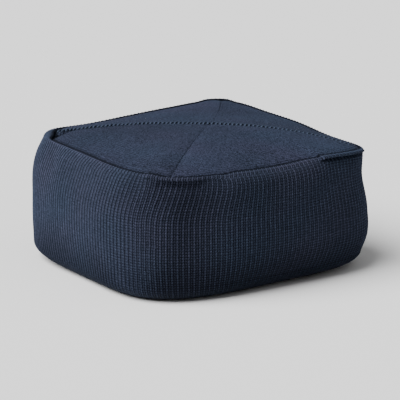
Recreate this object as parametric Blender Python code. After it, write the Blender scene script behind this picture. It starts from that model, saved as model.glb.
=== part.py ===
"""Outdoor footstool: a square, softly filled floor cushion in a knitted cover.

The filled body carries the side band, one knitted band with upright ribs that runs round all
four sides. Four triangular panels cover the crown and meet in the middle of the top. A flat
base panel closes the cover underneath. Metres, +Z up, floor at z = 0, and the origin is the
middle of the footprint. Bearings are degrees counter-clockwise from +X, and -Y is the front.
"""
import math
from collections import namedtuple

import bmesh
import bpy
import numpy as np

MM = 0.001

# Driving dimensions
EDGE_HEIGHT = 0.249
APEX_HEIGHT = 0.293
APEX_SHIFT = (0.023, -0.010)
CROWN_POWER = 2.4
RIBS_PER_SIDE = 51
RIB_DEPTH = 2.4 * MM
PANEL_THICKNESS = 3.0 * MM
CLEARANCE = 0.5 * MM

# Levels of the side band, from the floor to the seam with the top. share is the part of the
# edge's height, half_width is the reach at mid-side, and a squareness of 2 would be a circle.
Level = namedtuple("Level", "name share half_width squareness")
LEVELS = [
    Level("floor", 0.00, 0.240, 4.2),
    Level("foot", 0.14, 0.295, 3.7),
    Level("low", 0.25, 0.304, 3.9),
    Level("belly", 0.50, 0.304, 3.8),
    Level("shoulder", 0.80, 0.291, 4.3),
    Level("seam", 1.00, 0.276, 5.5),
]
FLOOR, FOOT, SEAM = LEVELS[0], LEVELS[1], LEVELS[-1]

# How far the top's edge rises above its even height, in millimetres, at sixteen bearings.
EDGE_RISES = {
    0.0: 21.5, 22.5: 33.0, 45.0: 47.5, 67.5: 37.5, 90.0: 27.5, 112.5: 19.0, 135.0: 18.0, 157.5: 12.5,
    180.0: 7.5, 202.5: 1.0, 225.0: -2.0, 247.5: -6.5, 270.0: -6.0, 292.5: 2.0, 315.0: 0.5, 337.5: 5.0,
}

# How each corner and mid-side departs from the even shape: each column pushes that level of the
# band outwards, in millimetres.
Station = namedtuple("Station", "name bearing floor foot low belly shoulder seam")
STATIONS = [
    Station("right_side", 0, -4.0, 3.0, 0.5, 2.0, 0.0, 3.5),
    Station("far_corner", 45, 0.0, 0.0, 0.0, 0.0, 0.0, -3.5),
    Station("back_side", 90, 3.0, 0.5, 0.0, 1.0, 0.0, -0.5),
    Station("left_corner", 135, 0.5, 8.0, -2.0, -1.5, 0.4, -7.5),
    Station("left_side", 180, 21.0, 3.8, -1.2, 1.1, -1.6, -1.5),
    Station("near_corner", 225, 12.8, 6.9, -0.2, -0.2, 0.4, 3.4),
    Station("front_side", 270, -10.0, -7.4, 0.6, 0.0, -0.1, 3.3),
    Station("right_corner", 315, -26.8, 2.5, 0.4, 2.7, -1.3, 2.4),
]

# The near corner leans: from the shoulder down its ribs stand a little to the left.
LEAN_BEARING = 225.0
LEAN_DEGREES = -3.5
LEAN_SPREAD = 30.0
LEAN_FULL_BELOW = 0.62

# The near corner of the band is drawn to a ridge, which fades out towards the foot.
RIDGE_PROUD = 8.0 * MM
RIDGE_SPREAD = 4.0
RIDGE_FULL_ABOVE = 0.50

# Where the rolled edge is lifted and stands proud of the band, and the band is tucked in beneath
# it: a stretch of bearings with the softness of its ends, the depths in millimetres, and the
# level of the tuck with how far it reaches, as shares of the edge's height.
EdgeFold = namedtuple("EdgeFold", "name start end softness lift proud tuck tuck_share tuck_spread")
EDGE_FOLDS = [
    EdgeFold("right end of the front edge", 291.0, 313.0, 2.0, 4.5, 6.0, 9.0, 0.970, 0.014),
    EdgeFold("near end of the front edge", 223.5, 236.5, 4.0, 0.0, 3.5, 4.0, 0.945, 0.040),
    EdgeFold("near corner's peak", 218.5, 222.5, 4.0, 3.5, 6.0, 0.0, 0.940, 0.045),
    EdgeFold("dimple beside the near corner", 243.0, 247.0, 4.0, -2.0, -0.5, 0.0, 0.940, 0.045),
    EdgeFold("far corner", 41.0, 53.0, 5.0, 3.5, 0.0, 0.0, 0.940, 0.045),
]

# Where the shoulder is full and rolls over to the seam: the middle of the stretch and half its
# length as bearings, how far the shoulder swells out, and how far the band carries on over the
# top before its seam, in millimetres.
RolledEdge = namedtuple("RolledEdge", "name bearing half_length swell strip")
ROLLED_EDGES = [
    RolledEdge("right", 0.0, 22.0, 8.0, 0.0),
    RolledEdge("back", 90.0, 22.0, 8.0, 0.0),
    RolledEdge("left corner", 137.0, 8.0, 2.0, 14.0),
    RolledEdge("left", 189.0, 27.0, 13.0, 0.0),
    RolledEdge("front", 266.0, 24.0, 14.0, 6.0),
]
ROLL_SOFTNESS = 16.0
ROLL_SHARE = 0.12
STRIP_FADE_SCALE = 0.60

# Where a corner of the top is sunk behind the edge: its bearing and spread, and in millimetres
# how deep it lies, how far it reaches in, and how far the edge is drawn in and lowered there.
CornerPocket = namedtuple("CornerPocket", "name bearing spread depth reach inset drop")
CORNER_POCKETS = [
    CornerPocket("left", 138.0, 7.0, 7.0, 25.0, 6.5, 4.5),
]

# Rows of the body's wall, as shares of the edge's height, then the rolled lip, as a scale of
# the seam outline with a drop from the seam's height.
WALL_SHARES = (0.0, 0.04, 0.14, 0.28, 0.45, 0.62, 0.78, 0.88, 0.95)
LipRow = namedtuple("LipRow", "name scale drop ribs on_roll on_strip")
LIP_ROWS = [
    LipRow("outer", 1.006, 4.0 * MM, 0.8, 0.7, 0.0),
    LipRow("crest", 1.000, 0.0, 0.4, 0.0, 0.0),
    LipRow("inner", 0.991, 1.5 * MM, 0.4, 0.0, 1.0),
]
OUTER_LIP_SHARE = 0.98
GROOVE_SCALE = 0.987

# The crown: rows from the panels' outer edge towards the middle, as scales of the seam outline.
PANEL_SCALES = (0.984, 0.967, 0.94, 0.89, 0.80, 0.68, 0.52, 0.34, 0.17)
TIP_SCALE = 0.003
EDGE_SINK = 4.5 * MM
EDGE_SINK_REACH = 9.0 * MM
DIAGONAL_SINK = 2.0 * MM
DIAGONAL_SINK_REACH = 9.0 * MM
DIAGONAL_GAP = 0.3 * MM

# The underside: the base panel lies inside the band's turned-in edge.
BASE_EDGE_SCALE = 0.975
BASE_WALL_SCALE = 0.972
BASE_PANEL_SCALE = 0.967

# Order of the sides, counter-clockwise, and the corner where each begins. panel_start is the
# rib at which the top panel begins: the near diagonal seam ends one rib past its corner.
Side = namedtuple("Side", "name corner_bearing panel_start")
SIDES = [
    Side("back", 45.0, 0),
    Side("left", 135.0, 0),
    Side("front", 225.0, 1),
    Side("right", 315.0, 0),
]
COLUMNS_PER_SIDE = 2 * RIBS_PER_SIDE
COLUMNS = COLUMNS_PER_SIDE * len(SIDES)
SAMPLES_PER_SIDE = 361
SHARP_EDGE_DEGREES = 60.0

# Ribs at which a panel has a column, close together near the corners.
PANEL_RIBS = (0, 1, 2, 3, 6, 10, 15, 20, 26, 31, 36, 41, 45, 48, 49, 50)

Finish = namedtuple("Finish", "name colour roughness")
BAND_YARN = Finish("navy_ribbed_yarn", (0.022, 0.032, 0.058), 0.95)
TOP_YARN = Finish("navy_top_yarn", (0.030, 0.043, 0.075), 0.95)
BASE_CLOTH = Finish("navy_base_cloth", (0.018, 0.024, 0.040), 0.95)


def smooth_through(xs, ys, x):
    """Smooth curve through the points (xs, ys), one curve for each column of ys."""
    slopes = np.gradient(ys, xs, axis=0)
    i = int(np.clip(np.searchsorted(xs, x, side="right") - 1, 0, len(xs) - 2))
    width = xs[i + 1] - xs[i]
    u = (x - xs[i]) / width
    rise = ys[i] * (1 + 2 * u) * (1 - u) ** 2 + ys[i + 1] * u * u * (3 - 2 * u)
    return rise + width * (slopes[i] * u * (1 - u) ** 2 - slopes[i + 1] * u * u * (1 - u))


def all_round(values, bearings):
    """Smooth closed curve through values at even bearings from +X, read at the bearings."""
    step = 360.0 / len(values)
    place = (bearings % 360.0) / step
    i = np.floor(place).astype(int)
    u = place - i
    v = np.array(values)
    before, here, after, beyond = (v[(i + k) % len(v)] for k in (-1, 0, 1, 2))
    slope_here = (after - before) / 2
    slope_after = (beyond - here) / 2
    rise = here * (1 + 2 * u) * (1 - u) ** 2 + after * u * u * (3 - 2 * u)
    return rise + slope_here * u * (1 - u) ** 2 - slope_after * u * u * (1 - u)


def smooth_step(x):
    """0 below 0, 1 above 1, and smooth between."""
    x = np.clip(x, 0.0, 1.0)
    return x * x * (3 - 2 * x)


def lean(share):
    """Degrees that the near corner has turned at this share of the height."""
    return LEAN_DEGREES * smooth_step((1.0 - share) / (1.0 - LEAN_FULL_BELOW))


def fold_window(fold, bearings):
    """1 along the fold, falling softly to 0 at its ends."""
    rise = smooth_step((bearings - fold.start) / fold.softness + 0.5)
    fall = smooth_step((fold.end - bearings) / fold.softness + 0.5)
    return rise * fall


def folded(bearings, column):
    """One column of the table of folds, read at the bearings, in metres."""
    return sum(getattr(f, column) * MM * fold_window(f, bearings) for f in EDGE_FOLDS)


def rolled(bearings, column):
    """One column of the table of rolled edges, read at the bearings, in metres."""
    found = np.zeros_like(bearings)
    for edge in ROLLED_EDGES:
        away = np.abs((bearings - edge.bearing + 180.0) % 360.0 - 180.0)
        window = smooth_step((edge.half_length - away) / ROLL_SOFTNESS + 0.5)
        found += getattr(edge, column) * MM * window
    return found


def pocketed(bearings, column):
    """One column of the table of corner pockets, read at the bearings, in metres."""
    found = np.zeros_like(bearings)
    for pocket in CORNER_POCKETS:
        window = np.exp(-((bearings - pocket.bearing) / pocket.spread) ** 2)
        found += getattr(pocket, column) * MM * window
    return found


def edge_height(bearings):
    """Height of the top's seam."""
    rises = [rise * MM for rise in EDGE_RISES.values()]
    even = EDGE_HEIGHT + all_round(rises, bearings)
    return even + folded(bearings, "lift") - pocketed(bearings, "drop")


def level_reach(level, bearings):
    """Distance of one level's outline from the axis."""
    angle = np.radians(bearings)
    power = level.squareness
    outline = (np.abs(np.cos(angle)) ** power + np.abs(np.sin(angle)) ** power) ** (-1 / power)
    pushed = [getattr(s, level.name) * MM for s in STATIONS]
    inset = pocketed(bearings, "inset") if level is SEAM else 0.0
    return outline * (level.half_width + all_round(pushed, bearings)) - inset


def swell(bearings, share):
    """How far the full shoulder stands out from the even shape, most of all near the seam."""
    depth = (1.0 - share) / ROLL_SHARE
    return rolled(bearings, "swell") * depth * math.exp(1.0 - depth)


def wall_reach(bearings, share):
    """Distance of the band from the axis, at one share of the edge's height."""
    leaning = lean(share) * np.exp(-((bearings - LEAN_BEARING) / LEAN_SPREAD) ** 2)
    turned = bearings - leaning
    if share < FOOT.share:
        under = level_reach(FLOOR, turned)
        roll = math.sqrt(1 - (1 - share / FOOT.share) ** 2)
        return under + (level_reach(FOOT, turned) - under) * roll
    shares = np.array([level.share for level in LEVELS[1:]])
    reaches = np.array([level_reach(level, turned) for level in LEVELS[1:]])
    ridge = RIDGE_PROUD * smooth_step(share / RIDGE_FULL_ABOVE)
    ridge = ridge * np.exp(-((bearings - LEAN_BEARING - LEAN_DEGREES) / RIDGE_SPREAD) ** 2)
    return smooth_through(shares, reaches, share) + swell(bearings, share) + ridge


def tuck(bearings, share):
    """How far the band is drawn in beneath the folds of the edge."""
    found = np.zeros_like(bearings)
    for fold in EDGE_FOLDS:
        near_edge = math.exp(-((share - fold.tuck_share) / fold.tuck_spread) ** 2)
        found += fold.tuck * MM * fold_window(fold, bearings) * near_edge
    return found


def column_bearings(share):
    """Bearings of the band's columns: each side's columns are evenly spaced along its outline."""
    corner_shift = np.array([lean(share) if s.corner_bearing == LEAN_BEARING else 0.0 for s in SIDES])
    corners = np.array([s.corner_bearing for s in SIDES]) + corner_shift
    ends = np.append(corners[1:], corners[0] + 360.0)
    found = []
    for start, end in zip(corners, ends):
        fine = np.linspace(start, end, SAMPLES_PER_SIDE)
        reach = wall_reach(fine % 360.0, share)
        x, y = reach * np.cos(np.radians(fine)), reach * np.sin(np.radians(fine))
        length = np.append(0.0, np.cumsum(np.hypot(np.diff(x), np.diff(y))))
        marks = np.linspace(0.0, length[-1], COLUMNS_PER_SIDE, endpoint=False)
        found.append(np.interp(marks, length, fine))
    return np.concatenate(found) % 360.0


def ring(bearings, reach, height):
    """One closed row of points."""
    angle = np.radians(bearings)
    height = np.broadcast_to(height, bearings.shape)
    return np.stack([reach * np.cos(angle), reach * np.sin(angle), height], axis=1)


SEAM_BEARINGS = column_bearings(1.0)


def crown_surface(bearings, scale):
    """Points of the even crown over the bearings, at scales of the seam's outline."""
    points = ring(bearings, level_reach(SEAM, bearings) * scale, 0.0)
    points[:, 0] += APEX_SHIFT[0] * (1 - scale ** 2)
    points[:, 1] += APEX_SHIFT[1] * (1 - scale ** 2)
    flatness = scale ** CROWN_POWER
    points[:, 2] = APEX_HEIGHT * (1 - flatness) + edge_height(bearings) * flatness
    return points


def crown_point(columns, scale):
    """Points of the panels' upper surface, above the given columns of the band."""
    bearings = SEAM_BEARINGS[columns]
    reach = level_reach(SEAM, bearings)
    edge_part = float(smooth_step((scale - STRIP_FADE_SCALE) / (PANEL_SCALES[0] - STRIP_FADE_SCALE)))
    points = crown_surface(bearings, scale - rolled(bearings, "strip") / reach * edge_part)
    inside = (PANEL_SCALES[0] - scale) * reach
    points[:, 2] -= EDGE_SINK * np.exp(-inside / EDGE_SINK_REACH)
    for pocket in CORNER_POCKETS:
        window = np.exp(-((bearings - pocket.bearing) / pocket.spread) ** 2)
        points[:, 2] -= pocket.depth * MM * window * np.exp(-(inside / (pocket.reach * MM)) ** 2)
    return points


def panel_columns(index):
    """The band's columns over which one top panel has its own columns, both ends included."""
    side, following = SIDES[index], SIDES[(index + 1) % len(SIDES)]
    first = index * COLUMNS_PER_SIDE + 2 * side.panel_start
    last = (index + 1) * COLUMNS_PER_SIDE + 2 * following.panel_start
    spread = np.array(PANEL_RIBS) / RIBS_PER_SIDE
    columns = first + 2 * np.rint(spread * (last - first) / 2).astype(int)
    return np.append(columns, last)


def panel_row(index, scale):
    """One row of a panel's upper surface, dipping towards the diagonal seams at both ends."""
    points = crown_point(panel_columns(index) % COLUMNS, scale)
    steps = np.hypot(*np.diff(points[:, :2], axis=0).T)
    along = np.append(0.0, np.cumsum(steps))
    to_seam = np.minimum(along, along[-1] - along) * math.sin(math.radians(45.0))
    points[:, 2] -= DIAGONAL_SINK * np.exp(-(to_seam / DIAGONAL_SINK_REACH) ** 2)
    return points


def lowered(points, depth):
    """The same points, a little lower."""
    return points - np.array([0.0, 0.0, depth])


def add_ring(bm, points):
    """New vertices of a mesh, one for each point."""
    return [bm.verts.new(p) for p in points]


def bridge(bm, lower, upper, closed=True):
    """Quads between two rows of equal length, the lower one outside or below."""
    count = len(lower)
    for i in range(count if closed else count - 1):
        j = (i + 1) % count
        bm.faces.new((lower[i], lower[j], upper[j], upper[i]))


def narrow(bm, fine, coarse, columns):
    """Triangles between a fine ring and a ring that has a point only at some columns."""
    total = len(fine)
    for i, start in enumerate(columns):
        end = columns[(i + 1) % len(columns)]
        span = (end - start) % total
        middle = span // 2
        here, there = coarse[i], coarse[(i + 1) % len(coarse)]
        for k in range(span):
            a, b = fine[(start + k) % total], fine[(start + k + 1) % total]
            bm.faces.new((a, b, here if k < middle else there))
        bm.faces.new((fine[(start + middle) % total], there, here))


def fan(bm, row, tip, closed=True):
    """Triangles from a row to one point."""
    count = len(row)
    for i in range(count if closed else count - 1):
        bm.faces.new((row[i], row[(i + 1) % count], tip))


def yarn(finish):
    """A plain cloth material."""
    material = bpy.data.materials.new(finish.name)
    material.use_nodes = True
    shader = material.node_tree.nodes["Principled BSDF"]
    shader.inputs["Base Color"].default_value = (*finish.colour, 1.0)
    shader.inputs["Roughness"].default_value = finish.roughness
    shader.inputs["Metallic"].default_value = 0.0
    return material


def add_object(name, bm, material):
    """Turns a closed mesh into an object of its own."""
    bmesh.ops.recalc_face_normals(bm, faces=bm.faces)
    mesh = bpy.data.meshes.new(name)
    bm.to_mesh(mesh)
    bm.free()
    mesh.shade_smooth()
    mesh.set_sharp_from_angle(angle=math.radians(SHARP_EDGE_DEGREES))
    mesh.materials.append(material)
    made = bpy.data.objects.new(name, mesh)
    bpy.context.scene.collection.objects.link(made)
    return made


def rib_relief(rows_share):
    """Crests and valleys of the ribs, fading out towards the floor."""
    wave = np.where(np.arange(COLUMNS) % 2 == 1, 0.5, -0.5)
    fade = float(smooth_step(rows_share / FOOT.share))
    return RIB_DEPTH * wave * fade


def wall_ring(share):
    """One row of the ribbed wall."""
    bearings = column_bearings(share)
    reach = wall_reach(bearings, share) - tuck(bearings, share) + rib_relief(share)
    return ring(bearings, reach, share * edge_height(bearings))


def lip_ring(row):
    """One row of the rolled edge."""
    bearings = SEAM_BEARINGS
    out = folded(bearings, "proud") + rib_relief(1.0) * row.ribs
    out += swell(bearings, OUTER_LIP_SHARE) * row.on_roll - rolled(bearings, "strip") * row.on_strip
    scale = row.scale + out / level_reach(SEAM, bearings)
    return lowered(crown_surface(bearings, scale), row.drop)


def body_crown_rows(index):
    """Rows of the body under one panel, from the outside in, without the panel's last column."""
    depth = PANEL_THICKNESS + CLEARANCE
    return [lowered(panel_row(index, scale), depth)[:-1] for scale in PANEL_SCALES]


def filled_ribbed_body(material):
    """The filling and the side band: one solid with belly, ribs, rolled edge and crown."""
    bm = bmesh.new()
    rows = [add_ring(bm, wall_ring(share)) for share in WALL_SHARES]
    rows += [add_ring(bm, lip_ring(row)) for row in LIP_ROWS]

    crown = [np.concatenate(parts) for parts in zip(*(body_crown_rows(i) for i in range(len(SIDES))))]
    coarse = np.concatenate([panel_columns(i)[:-1] for i in range(len(SIDES))])
    # The groove beyond the panels' edge carries on at the slope of their first two rows.
    run = (GROOVE_SCALE - PANEL_SCALES[1]) / (PANEL_SCALES[0] - PANEL_SCALES[1])
    groove = crown[1] + (crown[0] - crown[1]) * run
    closed_groove = np.vstack([groove, groove[:1]])
    stops = np.append(coarse, coarse[0] + COLUMNS)
    along = (np.arange(COLUMNS) - coarse[0]) % COLUMNS + coarse[0]
    rows.append(add_ring(bm, np.stack([np.interp(along, stops, axis) for axis in closed_groove.T], axis=1)))
    for lower, upper in zip(rows, rows[1:]):
        bridge(bm, lower, upper)

    inner = [add_ring(bm, points) for points in crown[1:]]
    narrow(bm, rows[-1], inner[0], list(coarse % COLUMNS))
    for lower, upper in zip(inner, inner[1:]):
        bridge(bm, lower, upper)
    top_depth = DIAGONAL_SINK + PANEL_THICKNESS + CLEARANCE
    apex = bm.verts.new((*APEX_SHIFT, APEX_HEIGHT - top_depth))
    fan(bm, inner[-1], apex)

    contact, step, hollow = base_rings()
    contact = add_ring(bm, contact)
    step = add_ring(bm, step)
    narrow(bm, rows[0], contact, list(base_columns()))
    bridge(bm, contact, step)
    fan(bm, step, bm.verts.new((0.0, 0.0, hollow)))
    return add_object("filled_ribbed_body", bm, material)


def base_columns():
    """Columns of the band at which the underside has points."""
    ribs = np.array(PANEL_RIBS)
    return np.concatenate([i * COLUMNS_PER_SIDE + 2 * ribs for i in range(len(SIDES))])


def base_outline(scale, height):
    """The footprint, scaled, at the underside's columns."""
    bearings = column_bearings(0.0)[base_columns()]
    return ring(bearings, wall_reach(bearings, 0.0) * scale, height)


def base_rings():
    """The band's turned-in edge on the floor, its inner edge, and the height over the base panel."""
    hollow = PANEL_THICKNESS + CLEARANCE
    return base_outline(BASE_EDGE_SCALE, 0.0), base_outline(BASE_WALL_SCALE, hollow), hollow


def base_panel(material):
    """The flat panel that closes the cover underneath."""
    bm = bmesh.new()
    under = add_ring(bm, base_outline(BASE_PANEL_SCALE, 0.0))
    over = add_ring(bm, base_outline(BASE_PANEL_SCALE, PANEL_THICKNESS))
    bridge(bm, under, over)
    bm.faces.new(under)
    bm.faces.new(over)
    return add_object("base_panel", bm, material)


def parted(points):
    """A panel's row with both ends drawn back from the diagonal seams."""
    drawn = points.copy()
    for end, neighbour in ((0, 1), (-1, -2)):
        way = points[neighbour] - points[end]
        drawn[end] += way / np.linalg.norm(way) * DIAGONAL_GAP
    return drawn


def top_panel(index, material):
    """One triangular panel of the top: a sheet from the band's groove to the middle."""
    bm = bmesh.new()
    upper_rows, lower_rows = [], []
    for scale in PANEL_SCALES:
        points = parted(panel_row(index, scale))
        upper_rows.append(add_ring(bm, points))
        lower_rows.append(add_ring(bm, lowered(points, PANEL_THICKNESS)))
    columns = panel_columns(index)
    middle = np.array([columns[len(columns) // 2]]) % COLUMNS
    tip = lowered(crown_point(middle, TIP_SCALE), DIAGONAL_SINK)[0]
    upper_tip = bm.verts.new(tip)
    lower_tip = bm.verts.new(tip - np.array([0.0, 0.0, PANEL_THICKNESS]))
    for rows in (upper_rows, lower_rows):
        for outer, inner in zip(rows, rows[1:]):
            bridge(bm, outer, inner, closed=False)
    fan(bm, upper_rows[-1], upper_tip, closed=False)
    fan(bm, lower_rows[-1], lower_tip, closed=False)
    bridge(bm, lower_rows[0], upper_rows[0], closed=False)
    for end in (0, -1):
        lower_end = [row[end] for row in lower_rows] + [lower_tip]
        upper_end = [row[end] for row in upper_rows] + [upper_tip]
        bridge(bm, lower_end, upper_end, closed=False)
    return add_object("top_panel_" + SIDES[index].name, bm, material)


def centre_on_footprint(objects):
    """Moves the whole model so that the middle of its box stands on the origin."""
    points = np.array([v.co[:] for made in objects for v in made.data.vertices])
    middle = (points.min(axis=0) + points.max(axis=0)) / 2
    for made in objects:
        for vertex in made.data.vertices:
            vertex.co.x -= middle[0]
            vertex.co.y -= middle[1]


def build():
    """Makes the whole footstool."""
    for old in list(bpy.data.objects):
        bpy.data.objects.remove(old, do_unlink=True)
    top_yarn = yarn(TOP_YARN)
    objects = [filled_ribbed_body(yarn(BAND_YARN))]
    objects += [top_panel(index, top_yarn) for index in range(len(SIDES))]
    objects.append(base_panel(yarn(BASE_CLOTH)))
    centre_on_footprint(objects)


build()
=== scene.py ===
"""Looks of the outdoor footstool: a square, softly filled floor cushion in a navy knitted cover."""
import math
from collections import namedtuple

import bmesh
import bpy
import numpy as np
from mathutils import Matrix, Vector


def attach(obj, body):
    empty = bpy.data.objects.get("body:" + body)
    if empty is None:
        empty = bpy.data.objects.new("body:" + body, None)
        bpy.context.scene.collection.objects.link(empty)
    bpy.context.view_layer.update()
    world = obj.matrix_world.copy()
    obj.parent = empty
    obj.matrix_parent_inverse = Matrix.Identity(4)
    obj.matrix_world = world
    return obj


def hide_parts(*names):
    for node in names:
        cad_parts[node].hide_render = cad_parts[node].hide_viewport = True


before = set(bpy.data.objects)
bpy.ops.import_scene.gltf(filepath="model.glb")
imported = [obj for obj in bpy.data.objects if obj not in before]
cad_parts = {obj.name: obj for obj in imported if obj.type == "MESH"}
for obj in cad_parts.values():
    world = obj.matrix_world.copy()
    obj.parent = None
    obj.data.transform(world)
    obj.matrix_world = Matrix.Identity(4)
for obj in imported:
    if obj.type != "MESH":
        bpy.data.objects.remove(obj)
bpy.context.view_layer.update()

# The filled body and its side band: soft filling in one knitted band, worked round all four
# sides in upright ribs of thick navy yarn. It stands on its turned-in foot, swells at the belly,
# and rolls over a soft shoulder to a narrow lip where the top is sewn in.

MM = 0.001
EDGE_HEIGHT = 0.249
APEX_HEIGHT = 0.293
APEX_SHIFT = (0.023, -0.010)
CROWN_POWER = 2.4
RIBS_PER_SIDE = 51

# The band's outlines by level. The share is of the edge's height, and a squareness of 2 is round.
Level = namedtuple("Level", "name share half_width squareness")
LEVELS = [
    Level("floor", 0.00, 0.240, 4.2),
    Level("foot", 0.14, 0.295, 3.7),
    Level("low", 0.25, 0.304, 3.9),
    Level("belly", 0.50, 0.304, 3.8),
    Level("shoulder", 0.80, 0.291, 4.3),
    Level("seam", 1.00, 0.276, 5.5),
]
FLOOR, FOOT, SEAM = LEVELS[0], LEVELS[1], LEVELS[-1]

# Millimetres that the top's seam rises over EDGE_HEIGHT, by bearing from +X.
EDGE_RISES = {
    0.0: 21.5, 22.5: 33.0, 45.0: 47.5, 67.5: 37.5, 90.0: 27.5, 112.5: 19.0, 135.0: 18.0, 157.5: 12.5,
    180.0: 7.5, 202.5: 1.0, 225.0: -2.0, 247.5: -6.5, 270.0: -6.0, 292.5: 2.0, 315.0: 0.5, 337.5: 5.0,
}

# Millimetres that each level's outline is pushed out, at even bearings from +X.
Station = namedtuple("Station", "name bearing floor foot low belly shoulder seam")
STATIONS = [
    Station("right_side", 0, -4.0, 3.0, 0.5, 2.0, 0.0, 3.5),
    Station("far_corner", 45, 0.0, 0.0, 0.0, 0.0, 0.0, -3.5),
    Station("back_side", 90, 3.0, 0.5, 0.0, 1.0, 0.0, -0.5),
    Station("left_corner", 135, 0.5, 8.0, -2.0, -1.5, 0.4, -7.5),
    Station("left_side", 180, 21.0, 3.8, -1.2, 1.1, -1.6, -1.5),
    Station("near_corner", 225, 12.8, 6.9, -0.2, -0.2, 0.4, 3.4),
    Station("front_side", 270, -10.0, -7.4, 0.6, 0.0, -0.1, 3.3),
    Station("right_corner", 315, -26.8, 2.5, 0.4, 2.7, -1.3, 2.4),
]
CORNERS = (45.0, 135.0, 225.0, 315.0)
OUTLINE_SAMPLES = 361

# The near corner leans round, fully below LEAN_FULL_BELOW of the height and not at the seam.
LEAN_BEARING = 225.0
LEAN_DEGREES = -3.5
LEAN_SPREAD = 30.0
LEAN_FULL_BELOW = 0.62

# Folds along the edge. Bearings are in degrees, and lift, proud and tuck in millimetres.
EdgeFold = namedtuple("EdgeFold", "name start end softness lift proud tuck tuck_share tuck_spread")
EDGE_FOLDS = [
    EdgeFold("right end of the front edge", 291.0, 313.0, 2.0, 4.5, 6.0, 9.0, 0.970, 0.014),
    EdgeFold("near end of the front edge", 223.5, 236.5, 4.0, 0.0, 3.5, 4.0, 0.945, 0.040),
    EdgeFold("near corner's peak", 218.5, 222.5, 4.0, 3.5, 6.0, 0.0, 0.940, 0.045),
    EdgeFold("dimple beside the near corner", 243.0, 247.0, 4.0, -2.0, -0.5, 0.0, 0.940, 0.045),
    EdgeFold("far corner", 41.0, 53.0, 5.0, 3.5, 0.0, 0.0, 0.940, 0.045),
]

# The near corner of the band is drawn to a ridge, which fades out towards the foot.
RIDGE_PROUD = 8.0 * MM
RIDGE_SPREAD = 4.0
RIDGE_FULL_ABOVE = 0.50

# Where the band rolls fully over the shoulder: its swell, fullest at ROLL_SHARE of the height
# below the seam, and the width of the strip that carries on over the top, both in millimetres.
RolledEdge = namedtuple("RolledEdge", "name bearing half_length swell strip")
ROLLED_EDGES = [
    RolledEdge("right", 0.0, 22.0, 8.0, 0.0),
    RolledEdge("back", 90.0, 22.0, 8.0, 0.0),
    RolledEdge("left corner", 137.0, 8.0, 2.0, 14.0),
    RolledEdge("left", 189.0, 27.0, 13.0, 0.0),
    RolledEdge("front", 266.0, 24.0, 14.0, 6.0),
]
ROLL_SOFTNESS = 16.0
ROLL_SHARE = 0.12

# Where the top sinks inside a corner, with depth, reach, inset and drop in millimetres.
CornerPocket = namedtuple("CornerPocket", "name bearing spread depth reach inset drop")
CORNER_POCKETS = [
    CornerPocket("left", 138.0, 7.0, 7.0, 25.0, 6.5, 4.5),
]


def smooth_step(x):
    """0 below 0, 1 above 1, and smooth between."""
    x = np.clip(x, 0.0, 1.0)
    return x * x * (3 - 2 * x)


def hump(away, spread):
    """1 where away is 0, and softly down to 0 on both sides of it."""
    return np.exp(-(away / spread) ** 2)


def smooth_through(xs, ys, x):
    """Smooth curve through the points (xs, ys), one curve for each column of ys."""
    slopes = np.gradient(ys, xs, axis=0)
    i = int(np.clip(np.searchsorted(xs, x, side="right") - 1, 0, len(xs) - 2))
    width = xs[i + 1] - xs[i]
    u = (x - xs[i]) / width
    rise = ys[i] * (1 + 2 * u) * (1 - u) ** 2 + ys[i + 1] * u * u * (3 - 2 * u)
    return rise + width * (slopes[i] * u * (1 - u) ** 2 - slopes[i + 1] * u * u * (1 - u))


def all_round(values, bearings):
    """Smooth closed curve through values at even bearings from +X, read at the bearings."""
    place = (bearings % 360.0) / (360.0 / len(values))
    i = np.floor(place).astype(int)
    u = place - i
    v = np.array(values)
    before, here, after, beyond = (v[(i + k) % len(v)] for k in (-1, 0, 1, 2))
    rise = here * (1 + 2 * u) * (1 - u) ** 2 + after * u * u * (3 - 2 * u)
    return rise + (after - before) / 2 * u * (1 - u) ** 2 - (beyond - here) / 2 * u * u * (1 - u)


def lean(share):
    """Degrees that the near corner has turned at this share of the height."""
    return LEAN_DEGREES * smooth_step((1.0 - share) / (1.0 - LEAN_FULL_BELOW))


def fold_window(fold, bearings):
    """1 along the fold, falling softly to 0 at its ends."""
    rise = smooth_step((bearings - fold.start) / fold.softness + 0.5)
    return rise * smooth_step((fold.end - bearings) / fold.softness + 0.5)


def folded(bearings, column):
    """One column of the table of folds, read at the bearings, in metres."""
    return sum(getattr(f, column) * MM * fold_window(f, bearings) for f in EDGE_FOLDS)


def rolled(bearings, column):
    """One column of the table of rolled edges, read at the bearings, in metres."""
    found = np.zeros_like(bearings)
    for edge in ROLLED_EDGES:
        away = np.abs((bearings - edge.bearing + 180.0) % 360.0 - 180.0)
        window = smooth_step((edge.half_length - away) / ROLL_SOFTNESS + 0.5)
        found += getattr(edge, column) * MM * window
    return found


def pocketed(bearings, column):
    """One column of the table of corner pockets, read at the bearings, in metres."""
    found = np.zeros_like(bearings)
    for pocket in CORNER_POCKETS:
        found += getattr(pocket, column) * MM * hump(bearings - pocket.bearing, pocket.spread)
    return found


def edge_height(bearings):
    """Height of the top's seam."""
    rises = [rise * MM for rise in EDGE_RISES.values()]
    even = EDGE_HEIGHT + all_round(rises, bearings)
    return even + folded(bearings, "lift") - pocketed(bearings, "drop")


def level_reach(level, bearings):
    """Distance of one level's outline from the axis."""
    angle = np.radians(bearings)
    power = level.squareness
    outline = (np.abs(np.cos(angle)) ** power + np.abs(np.sin(angle)) ** power) ** (-1 / power)
    pushed = [getattr(s, level.name) * MM for s in STATIONS]
    inset = pocketed(bearings, "inset") if level is SEAM else 0.0
    return outline * (level.half_width + all_round(pushed, bearings)) - inset


def swell(bearings, share):
    """How far the full shoulder stands out from the even shape, most of all near the seam."""
    depth = (1.0 - share) / ROLL_SHARE
    return rolled(bearings, "swell") * depth * math.exp(1.0 - depth)


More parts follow.
